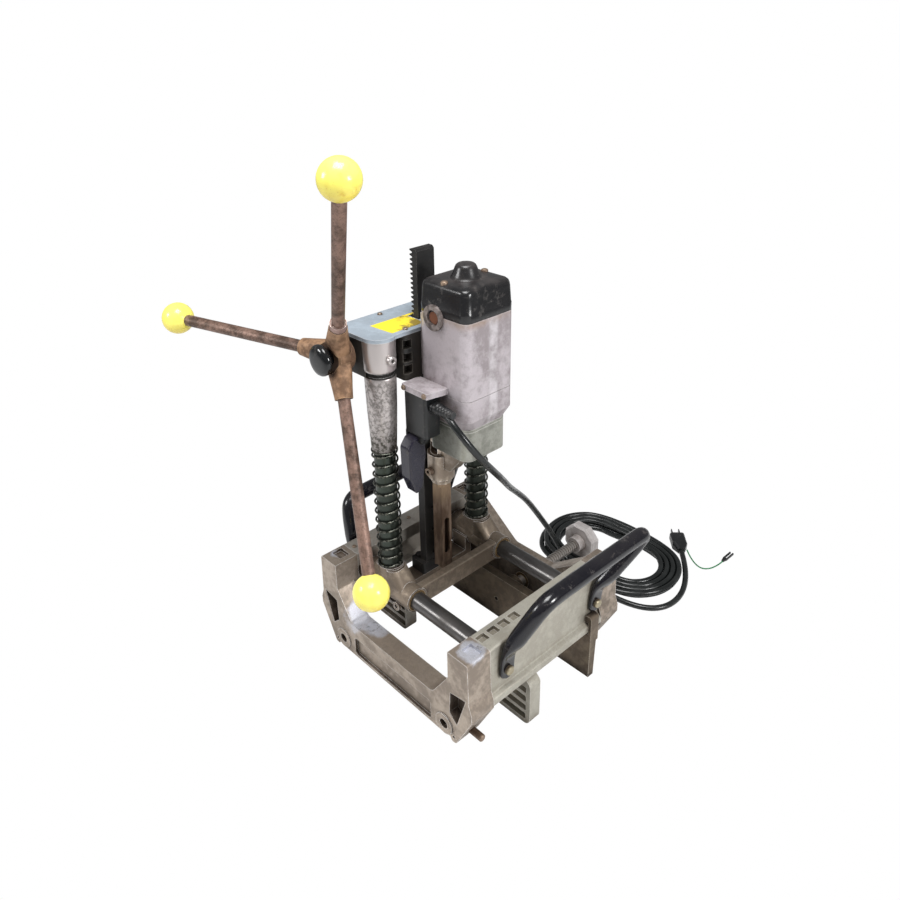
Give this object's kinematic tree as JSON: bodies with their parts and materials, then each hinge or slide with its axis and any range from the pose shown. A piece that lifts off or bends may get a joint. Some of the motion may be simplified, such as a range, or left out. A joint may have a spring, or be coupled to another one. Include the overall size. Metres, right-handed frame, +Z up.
{
  "type": "benchtop mortiser",
  "caption": "Portable hollow-chisel mortiser with a clamping frame, cross slide, sprung columns, rack feed with ball-ended levers, side motor, vise screw and hanked cord.",
  "frame": {"origin": "on the floor under the middle of the frame", "axes": "+X along the guide rods away from the motor's home end, +Y towards the vise screw, +Z up"},
  "size_m": [0.5998, 0.7024, 0.7473],
  "materials": {
    "cast_frame": "worn cast aluminium, matt brown-grey with bright rubbed edges",
    "cast_side": "light grey cast aluminium, matt",
    "steel_rod": "ground steel, dull with a light film of oil",
    "screw_steel": "small steel fasteners, dull and slightly brown",
    "black_paint": "black gloss paint, scuffed",
    "bronze": "plain bronze",
    "cord_black": "black rubber cord",
    "black_plastic": "black moulded plastic, semi-gloss",
    "earth_green": "green insulated wire",
    "knob_grey": "light grey cast knob",
    "dark_column": "dark oiled steel",
    "spring_wire": "dark spring wire with light edges",
    "black_oxide": "blackened steel",
    "head_black": "black painted casting",
    "cover_plate": "blue-grey painted plate with one plain yellow strip",
    "motor_grey": "pinkish light grey paint, dusty",
    "cap_black": "black moulded cap, dusty",
    "brush_cap": "dark moulded cap with a brown centre",
    "lamination": "stacked motor laminations",
    "gear_case": "grey-green cast aluminium",
    "holder_steel": "bright steel with brown tarnish",
    "chisel_steel": "tool steel with brown tarnish",
    "winding": "copper-coloured windings",
    "gear_steel": "machined steel",
    "hub_casting": "rough ochre-brown casting",
    "rusty_lever": "steel lever with even brown rust",
    "collar_steel": "dull steel ring",
    "yellow_ball": "gloss yellow plastic with fine marks"
  },
  "bodies": {
    "base": {"front_end": "cast_frame", "rear_end": "cast_frame", "side_rail_right": "cast_side", "side_rail_left": "cast_frame", "guide_rods": "steel_rod", "foot_pin": "screw_steel", "rail_screws": "screw_steel", "handle_right": "black_paint", "handle_left": "black_paint", "handle_bolts": "screw_steel", "vise_nut": "bronze", "cord_lead_lower": "cord_black", "cord_coil": "cord_black", "cord_tail": "cord_black", "cord_plug": "black_plastic", "earth_lead": "earth_green", "earth_clip": "black_plastic"},
    "vise_jaw": {"moving_jaw": "cast_frame"},
    "vise_screw": {"vise_screw": "steel_rod", "vise_knob": "knob_grey"},
    "carriage": {"carriage": "cast_frame", "carriage_bushes": "bronze", "columns": "dark_column", "return_springs": "spring_wire", "rack": "black_oxide", "rack_bolts": "black_oxide"},
    "head": {"head_casting": "head_black", "sleeves": "cast_side", "grease_nipples": "screw_steel", "top_cover": "cover_plate", "cover_screws": "screw_steel", "motor_housing": "motor_grey", "motor_cap": "cap_black", "cap_screws": "screw_steel", "brush_caps": "brush_cap", "stator": "lamination", "motor_bearings": "bronze", "gear_housing": "gear_case", "gear_cover": "gear_case", "spindle_bearings": "bronze", "chisel_holder": "holder_steel", "chisel_screw": "screw_steel", "chisel": "chisel_steel", "switch_bracket": "motor_grey", "bracket_screws": "screw_steel", "switch_box": "black_plastic", "cord_gland": "cord_black", "cord_lead_upper": "cord_black"},
    "armature": {"armature": "winding", "cooling_fan": "cap_black"},
    "idler": {"idler_gear": "gear_steel"},
    "spindle": {"spindle": "gear_steel", "auger_bit": "chisel_steel"},
    "feed": {"pinion_shaft": "gear_steel", "lever_hub": "hub_casting", "levers": "rusty_lever", "lever_collar": "collar_steel", "lever_balls": "yellow_ball", "hub_knob": "black_plastic"},
    "trigger": {"trigger": "black_plastic"}
  },
  "joints": [
    {"name": "carriage_slide", "type": "slide", "parent": "base", "child": "carriage", "axis": [1, 0, 0], "range_m": [0, 0.115], "deforming": ["cord_lead_lower"]},
    {"name": "head_slide", "type": "slide", "parent": "carriage", "child": "head", "axis": [0, 0, 1], "range_m": [-0.112, 0], "stiffness_N_per_m": 600, "springref_m": 0.3, "deforming": ["return_springs", "cord_lead_upper"]},
    {"name": "feed_turn", "type": "hinge", "parent": "head", "child": "feed", "pos_m": [-0.102, 0, 0.48], "axis": [0, 1, 0], "range_deg": [-322, 2]},
    {"name": "motor_spin", "type": "hinge", "parent": "head", "child": "armature", "pos_m": [0.002, 0, 0.46], "axis": [0, 0, 1], "continuous": true},
    {"name": "idler_spin", "type": "hinge", "parent": "head", "child": "idler", "pos_m": [-0.02425, 0, 0.37], "axis": [0, 0, 1], "continuous": true},
    {"name": "spindle_spin", "type": "hinge", "parent": "head", "child": "spindle", "pos_m": [-0.0505, 0, 0.36], "axis": [0, 0, 1], "continuous": true},
    {"name": "trigger_press", "type": "hinge", "parent": "head", "child": "trigger", "pos_m": [-0.026, -0.062, 0.371], "axis": [1, 0, 0], "range_deg": [0, 10], "stiffness_Nm_per_rad": 0.3, "springref_deg": -22.92},
    {"name": "vise_travel", "type": "slide", "parent": "base", "child": "vise_jaw", "axis": [0, 1, 0], "range_m": [-0.065, 0.01]},
    {"name": "vise_turn", "type": "hinge", "parent": "vise_jaw", "child": "vise_screw", "pos_m": [0, 0.1, 0.057], "axis": [0, 1, 0], "range_deg": [-4680, 720]}
  ],
  "couplings": [
    {"joint": "feed_turn", "follows": "head_slide", "rad_per_m": 50},
    {"joint": "idler_spin", "follows": "motor_spin", "ratio": -0.4},
    {"joint": "spindle_spin", "follows": "motor_spin", "ratio": 0.33684},
    {"joint": "vise_turn", "follows": "vise_travel", "rad_per_m": 1256.6}
  ]
}
